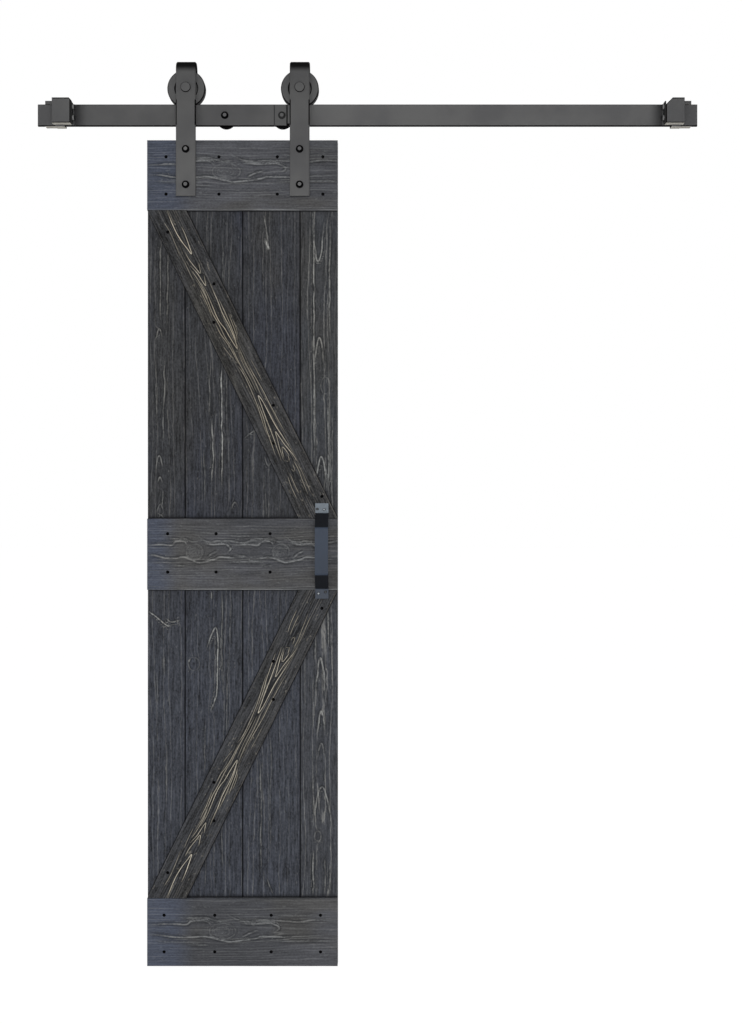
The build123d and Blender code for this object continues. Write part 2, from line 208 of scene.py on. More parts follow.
# places are in mm, from the stops, the lap, the seam and the edges of the pieces
metalLooks = {
    # painted shade on the rail beside the left stop
    "railLeft": dict(rail, fades=[(stopLeft - 4, stopLeft + 34, linear(42, 42, 43))], patches=[
        ({"X": (railLow[0] - 9, stopLeft - 4)}, linear(86, 86, 87)),
        ({"X": (lapStart - 1.2, lapStart + 1.2)}, linear(58, 58, 59)),
        ({"X": (seam - 1.0, seam + 1.0)}, linear(20, 20, 20)),
        railUnderShade,
    ]),
    "railRight": dict(
        rail, dark=linear(92, 92, 93), light=linear(101, 101, 101),
        # painted shade on the rail beside the right stop
        fades=[(stopRight + 4, stopRight - 34, linear(42, 42, 43))],
        patches=[
            ({"X": (stopRight + 4, railEnd + 9)}, linear(86, 86, 87)),
            ({"X": (seam - 2.0, seam + 2.4)}, linear(20, 20, 20)),
            # painted shadow at the foot of the seam
            ({"X": (seam, seam + 7.0), "Z": (railLow[2], railLow[2] + 7.0)}, linear(14, 14, 14)),
            railUnderShade,
        ],
    ),
    # painted shade: dark edges across the rail, a dark crown over the wheel, lighter towards the foot
    "strap": dict(
        flatSteel, side=linear(5, 5, 5), turn=(0.3, 0.6), rim=(railLow[2] - 1.5, railHigh[2] + 7.5),
        shade=(strapLow[2], strapHigh[2], 1.16, 0.88),
        crown=(strapHigh[2] - 33.0, strapHigh[2] - 15.0, linear(25, 25, 25)),
    ),
    "wheel": dict(flatSteel, turn=(0.8, 0.98)),
    "bolt": dict(bolt, turn=(0.95, 0.995)),
    "palerBolt": dict(bolt, dark=linear(84, 84, 85), light=linear(94, 94, 94), turn=(0.75, 0.98)),
    "spacer": dict(flatSteel, dark=linear(14, 14, 15), light=linear(24, 24, 24)),
    # painted shade on faces that turn up and along the top edge, painted light on the undersides
    "bracket": dict(
        flatSteel, dark=linear(87, 87, 88), light=linear(95, 95, 95), side=linear(14, 14, 14),
        rise=(0.2, 0.6), under=linear(172, 169, 162), middle=railMiddle,
        patches=[({"Z": (bracketTop - 3.4, bracketTop + 1.0)}, linear(28, 28, 28))],
    ),
    # painted light and shade: lighter towards the top, a painted highlight on the upper foot and painted
    # light on the lower foot
    "handle": dict(
        dark=linear(49, 57, 70), light=linear(58, 67, 80), side=linear(10, 13, 19), turn=(0.78, 0.93),
        rough=0.42, grit=0.08, gloss=0.12, shade=(handleLow[2], handleHigh[2], 0.88, 1.16),
        patches=[
            ({"Z": (handleHigh[2] - 26, handleHigh[2])}, linear(110, 118, 126)),
            ({"Z": (handleLow[2], handleLow[2] + 26)}, linear(64, 70, 80)),
        ],
    ),
    # painted highlight on the bumper's buttons
    "rubber": dict(
        dark=linear(20, 20, 20), light=linear(30, 30, 30), side=black, turn=(0.2, 0.5), rough=0.75, grit=0.2,
        gloss=0.2,
        patches=[
            ({"X": (stopLeft - 5.6, stopLeft - 1.8)}, linear(112, 112, 112)),
            ({"X": (stopRight + 1.8, stopRight + 5.6)}, linear(112, 112, 112)),
        ],
    ),
    "nail": dict(
        dark=linear(3, 3, 4), light=linear(8, 8, 9), side=linear(3, 3, 3), turn=(0.3, 0.8), rough=0.8,
        grit=0.1, gloss=0.02,
    ),
    "screw": dict(screw, dark=linear(120, 126, 132), light=linear(170, 174, 178), side=linear(14, 15, 17)),
    "darkScrew": dict(screw, dark=linear(24, 26, 30), light=linear(44, 47, 52), side=linear(10, 11, 13)),
}
metal = {name: paintedMetal(name + "Paint", look) for name, look in metalLooks.items()}

nodeMetal = {
    "railLeft": ["rail_left"],
    "railRight": ["rail_right"],
    "strap": ["hanger_strap_left", "hanger_strap_right"],
    "wheel": ["wheel_left", "wheel_right"],
    "bolt": [
        "lag_bolt_left", "hanger_bolts_left", "hanger_bolts_right", "hanger_nuts_left", "hanger_nuts_right",
    ],
    "palerBolt": ["lag_bolt_joint", "axle_bolt_left", "axle_bolt_right", "axle_nut_left", "axle_nut_right"],
    "spacer": ["spacer_left", "spacer_joint"],
    "bracket": ["end_bracket_left", "end_bracket_right"],
    "rubber": ["bumper_left", "bumper_right"],
    "handle": ["pull_handle"],
}
for name, members in nodeMetal.items():
    for member in members:
        mesh = nodes[member].data
        mesh.materials.clear()
        mesh.materials.append(metal[name])
print("metal finishes set on", sum(len(m) for m in nodeMetal.values()), "pieces")


stain = dict(
    grey=linear(57, 58, 61), warm=linear(63, 61, 56), tan=linear(164, 146, 112), dark=linear(18, 19, 22),
    gloss=0.12, roughCut=(0.3, 0.8), rough=(0.66, 0.84), bump=0.3, bumpDepth=0.0005,
)
# noise in the stain: how dense, how far it is drawn out along the grain, detail and roughness
stainNoise = dict(
    fibre=(240.0, 0.09, 3.0, 0.6), streak=(85.0, 0.09, 2.0, 0.5), ragged=(170.0, 0.25, 2.0, 0.6),
    speck=(270.0, 0.6, 2.0, 0.6), fleck=(150.0, 0.4, 2.0, 0.7), paleEdgeBreak=(150.0, 0.09, 2.0, 0.5),
)
# the noise values between which each effect sets in
stainCut = dict(
    patch=(0.36, 0.64), warm=(0.48, 0.68), lineBroken=(0.55, 0.9), figureBroken=(0.6, 0.95),
    furrow=(0.0, 0.55), lineTan=(0.2, 0.9), figureTan=(0.5, 0.7), fleck=(0.62, 0.78), paleEdgeBreak=(0.4, 0.62),
)
# what darkens the wood: knots by their own colour, and painted shade by shelf (above a board), gap (beside
# boards and braces) and depth (in the seam bevels); the attribute's values where it starts and ends, its
# share at both, and its tone
stainShade = dict(
    knot=(0.35, 0.95, 0.0, 0.85, stain["dark"]),
    shelf=(0.0, 12.0, 0.75, 0.0, stain["dark"]),
    gap=(0.5, 4.5, 0.85, 0.0, linear(9, 9, 12)),
    depth=(0.1, 0.8, 0.0, 0.92, linear(8, 8, 11)),
)


def stainNoises(t, turned, look):
    noise = {}
    for kind, (density, stretch, detail, rough) in stainNoise.items():
        noise[kind] = t.noise(t.mapped(turned, scale=(1, 1, stretch)), density, detail, rough)
    broad = t.mapped(turned, scale=(1, 1, 0.35))
    noise["patch"] = t.noise(broad, look["patch"])
    noise["mottle"] = t.noise(t.mapped(broad, shift=(3.1, 0, 1.7)), look["patch"] * 1.8)
    noise["sway"] = t.math("SUBTRACT", noise["ragged"], 0.5)
    return noise


def stainGround(t, look, place, noise):  # grey stain, warmer in places, streaked by fibres
    ground = t.mix(t.ramp(noise["patch"], *stainCut["patch"]), stain["grey"], look["tint"])
    warmth = t.ramp(noise["mottle"], *stainCut["warm"], 0.0, look["warmShare"])
    ground = t.mix(warmth, ground, stain["warm"])
    axis, low, high, lowTone = look["sweep"]
    ground = t.mix(t.ramp(t.split(place)[axis], low * mm, high * mm, 0.85, 0.0), ground, lowTone)
    shares = dict(fibre=look["contrast"], streak=look["contrast"] * 0.5, speck=look["speck"])
    value = look["level"]
    for kind, share in shares.items():
        value = t.math("MULTIPLY_ADD", t.math("SUBTRACT", noise[kind], 0.5), share, value)
    return t.mix(1.0, ground, value, "MULTIPLY")


def growthLines(t, look, noise):  # pale ring lines, the dark furrows between them and a chance for each ring
    band = t.attribute("band")
    phase = t.math("MULTIPLY_ADD", noise["sway"], look["ragged"], t.attribute("grain"))
    rise = t.math("MULTIPLY_ADD", t.math("FRACT", phase), 2.0, -1.0)
    peak = t.math("SUBTRACT", 1.0, t.math("ABSOLUTE", rise))
    ring = {"W": t.math("FLOOR", phase)}
    chance = t.add("ShaderNodeTexWhiteNoise", ring, noise_dimensions="1D").outputs["Value"]
    leastWidth = look["lineWidth"] * 0.6
    width = t.math("MULTIPLY_ADD", chance, leastWidth, leastWidth)
    line = t.ramp(peak, t.math("SUBTRACT", 1.0, width), 1.0)
    some = t.ramp(chance, look["few"], look["few"] + 0.3)
    broken = t.ramp(t.math("MULTIPLY_ADD", noise["ragged"], 0.5, noise["streak"]), *stainCut["lineBroken"])
    line = t.math("MULTIPLY", t.math("MULTIPLY", line, some), t.math("MULTIPLY", broken, band))
    line = t.math("MULTIPLY", line, look["strength"], clamp=True)
    furrow = t.math("MULTIPLY", t.ramp(peak, *stainCut["furrow"], look["furrow"], 0.0), band)
    return line, furrow, chance


def figureMarks(t, look, noise):  # the figure lines and the dark troughs beside them
    show, width = t.attribute("show"), look["figureWidth"]
    offset = t.math("ABSOLUTE", t.math("MULTIPLY_ADD", noise["sway"], look["jag"], t.attribute("curve")))
    worn = t.math("MULTIPLY_ADD", noise["speck"], 0.6, noise["ragged"])
    broken = t.ramp(worn, *stainCut["figureBroken"], look["unbroken"], 1.0)
    figure = t.math("MULTIPLY", t.ramp(offset, 0.0, width, 1.0, 0.0), show)
    figure = t.math("MULTIPLY", t.math("MULTIPLY", figure, broken), look["figure"], clamp=True)
    trough = t.ramp(offset, width * 0.8, width * 2.6, look["trough"], 0.0)
    trough = t.math("MULTIPLY", trough, t.math("MULTIPLY", show, 1.6, clamp=True))
    return figure, trough


# dark stain over worn grain, with painted shadow beside the boards and a pale edge line that is partly wear
# and partly painted highlight; the board's own attributes say where rings, figure lines and edges lie
def stainedWood(name, look):
    t = Tree(bpy.data.materials.new(name))
    place = t.add("ShaderNodeTexCoord").outputs["Object"]
    shift = (look["seed"] * 1.37, 0, look["seed"] * 2.11)
    noise = stainNoises(t, t.mapped(place, turn=(0, look["turn"], 0), shift=shift), look)
    line, furrow, chance = growthLines(t, look, noise)
    figure, trough = figureMarks(t, look, noise)
    tone = stainGround(t, look, place, noise)
    tone = t.mix(furrow, tone, stain["dark"])
    tone = t.mix(trough, tone, stain["dark"])
    for mark, source, cut in ((line, chance, "lineTan"), (figure, noise["mottle"], "figureTan")):
        tan = t.ramp(source, *stainCut[cut], 0.0, look["tanShare"])
        tone = t.mix(mark, tone, t.mix(tan, look["pale"], stain["tan"]))
    tone = t.mix(t.ramp(noise["fleck"], *stainCut["fleck"], 0.0, look["fleck"]), tone, look["pale"])
    # pale edge line, partly wear and partly painted highlight, broken up by noise
    paleEdge = t.ramp(noise["paleEdgeBreak"], *stainCut["paleEdgeBreak"], 0.2, 1.0)
    paleEdge = t.math("MULTIPLY", t.attribute("wearAndHighlight"), paleEdge, clamp=True)
    tone = t.mix(t.math("MULTIPLY", paleEdge, look["wearAndHighlight"]), tone, look["pale"])
    for label, (start, end, atStart, atEnd, shadeTone) in stainShade.items():
        tone = t.mix(t.ramp(t.attribute(label), start, end, atStart, atEnd), tone, shadeTone)
    height = t.math("MULTIPLY", t.math("ADD", line, figure), 0.6)
    height = t.math("MULTIPLY_ADD", noise["fibre"], 0.5, height)
    bump = t.add("ShaderNodeBump", {
        "Height": height, "Strength": stain["bump"], "Distance": stain["bumpDepth"],
    })
    shader = t.add("ShaderNodeBsdfPrincipled", {
        "Base Color": tone, "Roughness": t.ramp(noise["streak"], *stain["roughCut"], *stain["rough"]),
        "Normal": bump.outputs["Normal"], "Specular IOR Level": stain["gloss"],
    })
    return t.finish(shader.outputs["BSDF"])


lattice = 64  # cells of the noise before it repeats


def easeStep(share):
    return share * share * share * (share * (share * 6 - 15) + 10)


def softNoise(x, y, seed):  # smooth lattice noise, -1 to 1
    table = np.random.RandomState(seed).uniform(-1, 1, (lattice, lattice))
    xi, yi = np.floor(x).astype(int), np.floor(y).astype(int)
    fx, fy = easeStep(x - xi), easeStep(y - yi)
    left, right = xi % lattice, (xi + 1) % lattice
    low, high = yi % lattice, (yi + 1) % lattice
    atLow = table[left, low] * (1 - fx) + table[right, low] * fx
    return atLow * (1 - fy) + (table[left, high] * (1 - fx) + table[right, high] * fx) * fy


# growth rings: lengths in mm over which they wander and drift, and a knot's reach in knot sizes
rings = dict(
    wanderLength=420, drift=(230, 45), fineDrift=(70, 16), fineShare=0.3, knotReach=(2.6, 1.5), knotPush=1.9,
    knotCore=(0.9, 0.7), knotFade=1.3,
)


def ovalDistance(s, t, knot, reach):  # squared distance from a knot, in its own lengths along and across
    alongKnot, acrossKnot, size = knot
    return ((s - alongKnot) / (reach[0] * size)) ** 2 + ((t - acrossKnot) / (reach[1] * size)) ** 2


def grainField(s, t, grain):  # growth rings met by the board's face, s along and t across in mm
    seed = grain["seed"]
    wander = softNoise(s / rings["wanderLength"] + 7, np.full_like(t, seed * 0.37), seed)
    u = t - grain["pith"] - grain["wander"] * wander
    d = np.interp(s, grain["deepAt"], grain["deep"])  # how far the heart lies under the face
    drift = softNoise(s / rings["drift"][0], t / rings["drift"][1], seed + 1)
    fineDrift = softNoise(s / rings["fineDrift"][0], t / rings["fineDrift"][1], seed + 2)
    r = np.sqrt(u * u + d * d) + grain["drift"] * (drift + rings["fineShare"] * fineDrift)
    mark = np.zeros_like(r)
    for knot in grain["knots"]:
        r = r + rings["knotPush"] * knot[2] * np.exp(-ovalDistance(s, t, knot, rings["knotReach"]))
        mark = np.maximum(mark, np.exp(-ovalDistance(s, t, knot, rings["knotCore"]) * rings["knotFade"]))
    return r / grain["ringWidth"], mark, np.exp(-(u / grain["bandHalf"]) ** 4)


def smoothPath(points):  # a rounded line through a few points
    points = np.array(points, float)
    ends = np.concatenate([2 * points[:1] - points[1:2], points, 2 * points[-1:] - points[-2:-1]])
    share = np.linspace(0, 1, 6, endpoint=False)[:, None]
    runs = []
    for a, b, c, d in zip(ends[:-3], ends[1:-2], ends[2:-1], ends[3:]):
        bend = 2 * a - 5 * b + 4 * c - d + share * (3 * (b - c) + d - a)
        runs.append(b + 0.5 * share * (c - a + share * bend))
    return np.concatenate(runs + [points[-1:]])


# how far arches and streaks wave, as (height, length) in mm
lineWave = dict(arch=(1.3, 26), streak=(2.6, 90), streakFine=(1.2, 24))


def wave(kind, s, row, seed):
    height, length = lineWave[kind]
    return height * softNoise(s / length, np.full_like(s, row), seed)


def figureLines(grain):  # arches, streaks, loops and listed lines as paths in (along, across) mm
    seed = grain["seed"]
    lines = []
    for along, across, half, length, strength in grain.get("arches", []):
        share = np.linspace(-1, 1, 33)
        s = along + length * share * share
        t = across + half * share + wave("arch", s, along * 0.1, seed + 21)
        lines.append((np.stack([s, t], -1), strength))
    for start, end, across, strength in grain.get("streaks", []):
        s = np.linspace(start, end, max(6, int(abs(end - start) / 9)))
        sway = wave("streak", s, across * 0.3, seed + 22) + wave("streakFine", s, across, seed + 23)
        lines.append((np.stack([s, across + sway], -1), strength))
    for along, across, halfLong, halfWide, strength in grain.get("loops", []):
        turn = np.linspace(0, 2 * math.pi, 37)
        oval = np.stack([along + halfLong * np.cos(turn), across + halfWide * np.sin(turn)], -1)
        lines.append((oval, strength))
    for points, strength in grain.get("paths", []):
        lines.append((smoothPath(points), strength))
    return lines


def drawLines(s, t, lines):  # signed distance to the nearest figure line, and how clearly it shows
    reach = 7.0
    near = np.full(s.shape, reach)
    show = np.zeros(s.shape)
    for points, strength in lines:
        low, high = points.min(0) - reach, points.max(0) + reach
        spot = (s > low[0]) & (s < high[0]) & (t > low[1]) & (t < high[1])
        if not spot.any():
            continue
        here = np.stack([s[spot], t[spot]], -1)
        step = np.diff(points, axis=0)
        away = here[:, None] - points[:-1]
        share = np.clip((away * step).sum(-1) / np.maximum((step * step).sum(-1), 1e-9), 0, 1)
        off = away - share[..., None] * step
        distance = np.sqrt((off * off).sum(-1))
        pick = distance.argmin(1)
        row = np.arange(len(here))
        side = step[pick, 0] * away[row, pick, 1] - step[pick, 1] * away[row, pick, 0]
        signed = distance[row, pick] * np.where(side < 0, -1, 1)
        position = (pick + share[row, pick]) / len(step)
        closed = np.allclose(points[0], points[-1])
        fade = 1.0 if closed else np.clip(5 * np.minimum(position, 1 - position) + 0.15, 0, 1)
        closer = np.abs(signed) < np.abs(near[spot])
        near[spot] = np.where(closer, signed, near[spot])
        show[spot] = np.where(closer, strength * fade, show[spot])
    return near, show


def steps(length, pitch, edges):  # grid lines across a board, closer together at its rounded edges
    count = max(2, int(round((length - 2 * edges[-1]) / pitch)))
    inner = np.linspace(edges[-1], length - edges[-1], count + 1)
    return np.concatenate([np.array(edges[:-1]), inner, length - np.array(edges[:-1])[::-1]])


def roundDepth(distance, radius):  # how far a rounded edge drops, at a distance in from the edge
    inside = np.clip(1 - distance / radius, 0, 1)
    return radius * (1 - np.sqrt(np.clip(1 - inside * inside, 0, 1)))


def bevelDepth(distance, size):
    return np.clip(size - distance, 0, size)


# a board's surface in mm: its end rounding, rolling relief, raised lines, sunk knots and wavy edges
surface = dict(
    endRound=1.6, calmWidth=3.0, roll=0.25, rollSize=(60, 12), lineRise=0.35, lineHalf=3.5, knotDip=0.6,
    most=0.4, wobble=0.35, wobbleLength=45, wobbleWidth=4, sharpAngle=38,
)
farOff = 40.0  # mm, too far from a neighbour to be shaded by it


def boardFaces(rows, columns, mirrored):  # front, back and sides of a closed board
    count = rows * columns
    index = np.arange(count).reshape(rows, columns)
    a, b, c, d = index[:-1, :-1], index[1:, :-1], index[1:, 1:], index[:-1, 1:]
    front = np.stack([a, b, c, d], -1).reshape(-1, 4)
    loop = np.concatenate([index[:, 0], index[-1, 1:], index[-2::-1, -1], index[0, -2:0:-1]])
    after = np.roll(loop, -1)
    sides = np.stack([loop, loop + count, after + count, after], -1)
    if mirrored:
        front = front[:, ::-1]
        sides = sides[:, ::-1]
    return np.concatenate([front, front[:, ::-1] + count, sides])


def boardLayers(mesh, layers):  # attributes on the front, and on the back, which is plain
    rear = dict(wearAndHighlight=0.0, gap=farOff, shelf=farOff)
    for label, values in layers.items():
        layer = mesh.attributes.new(label, "FLOAT", "POINT")
        behind = np.full(values.shape, rear[label]) if label in rear else values
        layer.data.foreach_set("value", np.concatenate([values, behind]).reshape(-1).astype(np.float32))


# a watertight board with its relief and attributes; the outline's corner, long edge and cross edge are
# (x, z) in mm, and the face looks towards -Y
def makeBoard(name, outline, frontY, backY, grain, material):
    corner, longEdge, crossEdge = (np.array(v, float) for v in outline)
    length = np.linalg.norm(longEdge)
    unit = longEdge / length
    width = abs(crossEdge[0] * unit[1] - crossEdge[1] * unit[0])
    edge, seed = grain["edge"], grain["seed"]
    edges = [0.0, 0.25 * edge, 0.6 * edge, edge]
    alongSteps = steps(length, grain["alongPitch"], edges)
    acrossSteps = steps(width, grain["acrossPitch"], edges)
    s, t = np.meshgrid(alongSteps, acrossSteps, indexing="ij")
    share = t / width
    along = s + share * np.dot(crossEdge, unit)
    plan = corner + (s / length)[..., None] * longEdge + share[..., None] * crossEdge
    field, mark, band = grainField(along, t, grain)
    curve, show = drawLines(along, t, figureLines(grain))
    if grain.get("close"):  # lines this close keep a gap only if their distance has no sign
        curve = np.abs(curve)

    sideDrop = bevelDepth if grain["bevelled"] else roundDepth
    fromSide = np.minimum(t, width - t)
    fromEnd = np.minimum(s, length - s)
    inFrom = np.minimum(fromEnd, fromSide)
    drop = np.maximum(roundDepth(fromEnd, min(edge, surface["endRound"])), sideDrop(fromSide, edge))
    ridge = 1 - np.abs(2 * (field - np.floor(field)) - 1)
    calm = np.clip((inFrom - edge) / surface["calmWidth"], 0, 1)
    roll = softNoise(s / surface["rollSize"][0], t / surface["rollSize"][1], seed + 9)
    relief = grain["relief"] * band * (ridge - 0.5) + surface["roll"] * roll
    raised = show * np.clip(1 - np.abs(curve) / surface["lineHalf"], 0, 1)
    relief = relief + surface["lineRise"] * raised - surface["knotDip"] * mark
    wobble = softNoise(s / surface["wobbleLength"], (t > width / 2) * 3.0, seed + 11)
    wobble = surface["wobble"] * wobble * np.clip(1 - inFrom / surface["wobbleWidth"], 0, 1)
    frontDepth = frontY + drop - np.minimum(relief * calm, surface["most"]) + np.abs(wobble)
    front = np.stack([plan[..., 0], np.maximum(frontDepth, frontY), plan[..., 1]], -1)
    back = np.stack([plan[..., 0], np.full(s.shape, backY), plan[..., 1]], -1)

    verts = np.concatenate([front.reshape(-1, 3), back.reshape(-1, 3)]) * mm
    mirrored = longEdge[0] * crossEdge[1] - longEdge[1] * crossEdge[0] < 0
    mesh = bpy.data.meshes.new(name)
    mesh.from_pydata(verts.tolist(), [], boardFaces(*s.shape, mirrored).tolist())
    mesh.validate()
    # pale edge lines along the near and far sides, partly wear and partly painted highlight
    wearAndHighlightNear = grain["wearAndHighlightNear"] * np.clip(1 - t / grain["wearAndHighlightWidth"], 0, 1)
    wearAndHighlightFar = grain["wearAndHighlightFar"] * np.clip(1 - (width - t) / grain["wearAndHighlightWidth"], 0, 1)
    nearSeam, farSeam = grain["seamSides"]
    # dark seam: painted shade down into the bevels on the sides that meet a neighbouring plank
    depth = np.maximum(nearSeam * sideDrop(t, edge), farSeam * sideDrop(width - t, edge)) / edge
    gap, shelf = np.full(s.shape, farOff), np.full(s.shape, farOff)
    if "around" in grain:
        gap, shelf = grain["around"](plan)
    boardLayers(mesh, dict(
        grain=field, knot=mark, band=band, wearAndHighlight=np.maximum(wearAndHighlightNear, wearAndHighlightFar), depth=depth, curve=curve,
        show=show, gap=gap, shelf=shelf,
    ))
    mesh.shade_smooth()
    mesh.set_sharp_from_angle(angle=math.radians(surface["sharpAngle"]))
    mesh.materials.append(material)
    piece = bpy.data.objects.new(name, mesh)
    scene.collection.objects.link(piece)
    return piece


leafLow, leafHigh = nodeBox("plank_left")[0], nodeBox("plank_right")[1]
leafLeft, leafTop = leafLow[0], leafHigh[2]


def braceOutline(name):  # corner at the left end, long edge and level end of a brace, in (x, z)
    low, high = nodeBox(name)
    points = np.array([v.co for v in nodes[name].data.vertices]) / mm
    topPoints = points[points[:, 2] > high[2] - 0.5]
    level = topPoints[:, 0].max() - topPoints[:, 0].min()
    run, rise = high[0] - level - low[0], high[2] - low[2]
    if name == "upper_brace":
        return (low[0], high[2]), (run, -rise), (level, 0)
    return (low[0], low[2]), (run, rise), (level, 0)


# on the planks, for the painted shadow: distance from the boards and braces that lie on them, and height
# above a board
def besideBoards(plan):
    height = plan[..., 1]
    gap, shelf = np.full(height.shape, farOff), np.full(height.shape, farOff)
    for name in boards:
        low, high = nodeBox(name)
        above = height - high[2]
        gap = np.minimum(gap, np.maximum(above, low[2] - height))
        if name != "top_board":
            shelf = np.minimum(shelf, np.where(above > -3, np.abs(above), farOff))
    for name in braces:
        corner, longEdge, crossEdge = (np.array(v, float) for v in braceOutline(name))
        unit = longEdge / np.linalg.norm(longEdge)
        normal = np.array([-unit[1], unit[0]])
        half = np.dot(crossEdge, normal) / 2
        off = np.abs(np.dot(plan - corner, normal) - half) - abs(half)
        low, high = nodeBox(name)
        off = np.maximum(off, np.maximum(height - high[2], low[2] - height))
        gap = np.minimum(gap, off)
    return np.clip(gap, -6, farOff), np.clip(shelf, 0, farOff)


# shared by all wood
woodGrain = dict(
    bevelled=False, seamSides=(0, 0), alongPitch=4.0, relief=0.3, bandHalf=400.0, wearAndHighlightNear=0.0, knots=[],
)
# planks: along runs down from the leaf's top, across runs from the plank's left edge
plankGrain = dict(
    woodGrain, edge=2.6, bevelled=True, seamSides=(1, 1), alongPitch=6.0, acrossPitch=2.5, ringWidth=9.0,
    wander=8.0, drift=5.0, deepAt=[0, 2134], deep=[10, 22], wearAndHighlightWidth=3.0, wearAndHighlightFar=0.0, around=besideBoards,
)
plankLook = dict(
    turn=0.0, patch=5.0, ragged=0.5, lineWidth=0.22, few=0.45, strength=0.2, furrow=0.15,
    tint=linear(55, 57, 64), contrast=2.3, speck=1.5, fleck=0.16, level=0.91, tanShare=0.12, warmShare=0.35,
    jag=4.0, pale=linear(165, 166, 164), figureWidth=2.6, figure=0.58, unbroken=0.25, trough=0.55, wearAndHighlight=0.0,
    sweep=("Z", -1500, -1000, linear(65, 68, 76)),
)
# knots are (along, across, size), streaks (start, end, across, strength), arches (along, across, half width,
# length, strength), loops (along, across, half length, half width, strength), paths (points, strength)
leftPlank = dict(
    seed=11, pith=38.0, seamSides=(0, 1), knots=[(494, 30, 6), (1241, 74, 6), (1424, 74, 4)],
    streaks=[
        (250, 465, 34, 0.7), (260, 480, 52, 0.6), (569, 724, 22, 0.5), (569, 775, 42, 0.8),
        (905, 946, 37, 0.7), (1334, 1383, 43, 0.5), (1375, 1460, 24, 0.4), (1560, 1700, 48, 0.3),
    ],
    arches=[
        (814, 30, 9, 34, 0.9), (869, 32, 5, 13, 0.9), (941, 32, 9, 22, 0.6), (968, 34, 7, 12, 0.7),
        (486, 30, 8, 26, 0.8),
    ],
    paths=[
        ([(1218, 3), (1234, 24), (1252, 46), (1258, 58)], 1.6),
        ([(1238, 50), (1246, 62), (1240, 84)], 1.0),
    ],
)
innerLeftPlank = dict(
    seed=23, pith=92.0, knots=[(1354, 22, 8), (962, 124, 8)],
    streaks=[
        (230, 540, 58, 0.35), (240, 560, 96, 0.4), (300, 560, 112, 0.3), (569, 710, 64, 0.6),
        (722, 880, 71, 1.2), (570, 890, 95, 1.7), (590, 790, 108, 0.4), (800, 935, 50, 0.4),
        (1166, 1420, 95, 0.6), (1166, 1186, 68, 0.7), (1180, 1300, 118, 0.3), (1330, 1560, 110, 0.4),
        (1500, 1640, 52, 0.4), (1820, 1930, 52, 0.5), (1700, 1900, 96, 0.35),
    ],
    arches=[(935, 128, 10, 24, 0.5)],
    loops=[(1354, 22, 17, 15, 0.2)],
    paths=[
        ([(1341, 15), (1348, 9), (1358, 8), (1368, 13)], 1.5),
        ([(1312, 57), (1284, 66), (1260, 79), (1295, 85), (1344, 84), (1424, 82), (1450, 76),
          (1476, 66)], 1.6),
    ],
)
innerRightPlank = dict(
    seed=37, pith=40.0,
    streaks=[
        (210, 420, 54, 0.3), (1606, 1890, 46, 0.75), (1340, 1560, 72, 0.3), (1500, 1860, 72, 0.35),
        (900, 980, 60, 0.3), (1240, 1330, 26, 0.25), (1180, 1290, 98, 0.25),
    ],
    paths=[
        ([(770, 5), (760, 16), (750, 29)], 0.8),
        ([(816, 57), (834, 62), (842, 67), (832, 72)], 0.6),
        ([(1912, 64), (1930, 70), (1950, 78)], 0.7),
        ([(192, 55), (217, 59), (257, 65), (281, 62)], 0.8),
        ([(254, 60), (266, 62), (280, 66)], 1.8),
        ([(256, 63), (268, 66), (282, 69)], 1.8),
    ],
)
rightPlank = dict(
    seed=41, pith=52.0, seamSides=(1, 0), ringWidth=8.0, knots=[(1800, 46, 5)],
    streaks=[
        (150, 840, 35, 0.8), (657, 910, 72, 0.7), (700, 1000, 82, 0.4), (200, 520, 76, 0.6),
        (1215, 1310, 72, 0.7), (1250, 1420, 84, 0.35), (1290, 1345, 40, 0.5), (1640, 1760, 33, 0.5),
        (1838, 1950, 35, 0.8), (1860, 1950, 66, 0.5), (1870, 1950, 78, 0.5), (1390, 1520, 33, 0.4),
    ],
    arches=[
        (312, 47, 15, -100, 0.9), (509, 49, 12, 66, 0.9), (817, 54, 15, 86, 1.0),
        (1338, 53, 14, 120, 0.9), (1476, 54, 10, 62, 0.9), (1673, 57, 25, 105, 0.8),
        (1560, 55, 9, 40, 0.5), (1010, 60, 18, -60, 0.4),
    ],
    loops=[(633, 65, 22, 12, 0.28), (1800, 46, 13, 9, 0.28)],
)
coolLook = dict(warmShare=0.18, level=0.86, tint=linear(53, 56, 66))
planks = {
    "plank_left": (leftPlank, dict(coolLook, seed=1)),
    "plank_inner_left": (innerLeftPlank, dict(coolLook, seed=2)),
    "plank_inner_right": (innerRightPlank, dict(seed=3, strength=0.22)),
    "plank_right": (rightPlank, dict(
        seed=4, strength=0.45, tint=linear(58, 60, 64), level=1.06, figure=0.8, figureWidth=3.0,
        sweep=("Z", -1500, -1000, linear(63, 65, 70)),
    )),
}
